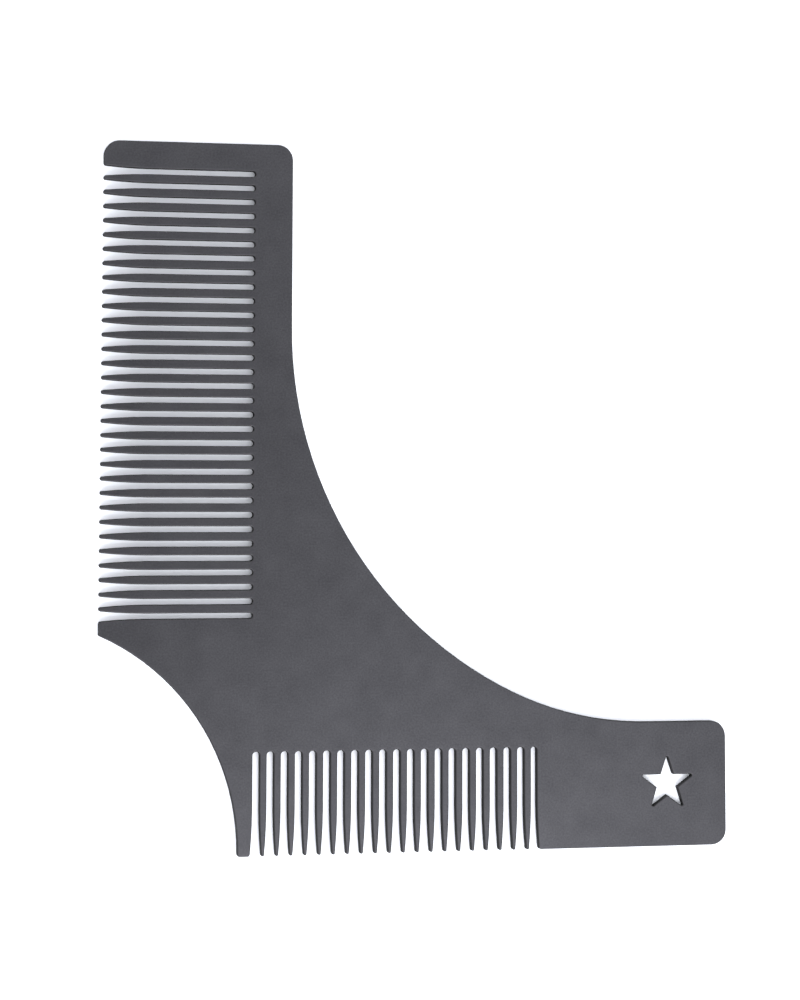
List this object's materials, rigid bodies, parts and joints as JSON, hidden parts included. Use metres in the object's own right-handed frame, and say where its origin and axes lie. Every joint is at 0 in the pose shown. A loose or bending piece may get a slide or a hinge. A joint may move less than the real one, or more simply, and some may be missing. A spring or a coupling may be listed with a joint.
{
  "type": "beard comb",
  "caption": "Flat L-shaped metal beard comb and shaping guide: a long comb down one arm, a short comb along the foot, a concave guide curve, a chin curve and a handle with a star-shaped hole.",
  "frame": {"origin": "middle of the outline, on the back face that rests on the floor", "axes": "+Z through the sheet towards the front face, +X along the handle away from the long comb, +Y up the long arm"},
  "size_m": [0.1042, 0.1142, 0.0015],
  "materials": {
    "coated_steel": "matt dark grey coating with a fine grain"
  },
  "bodies": {
    "root": {"comb_plate": "coated_steel"}
  },
  "joints": []
}
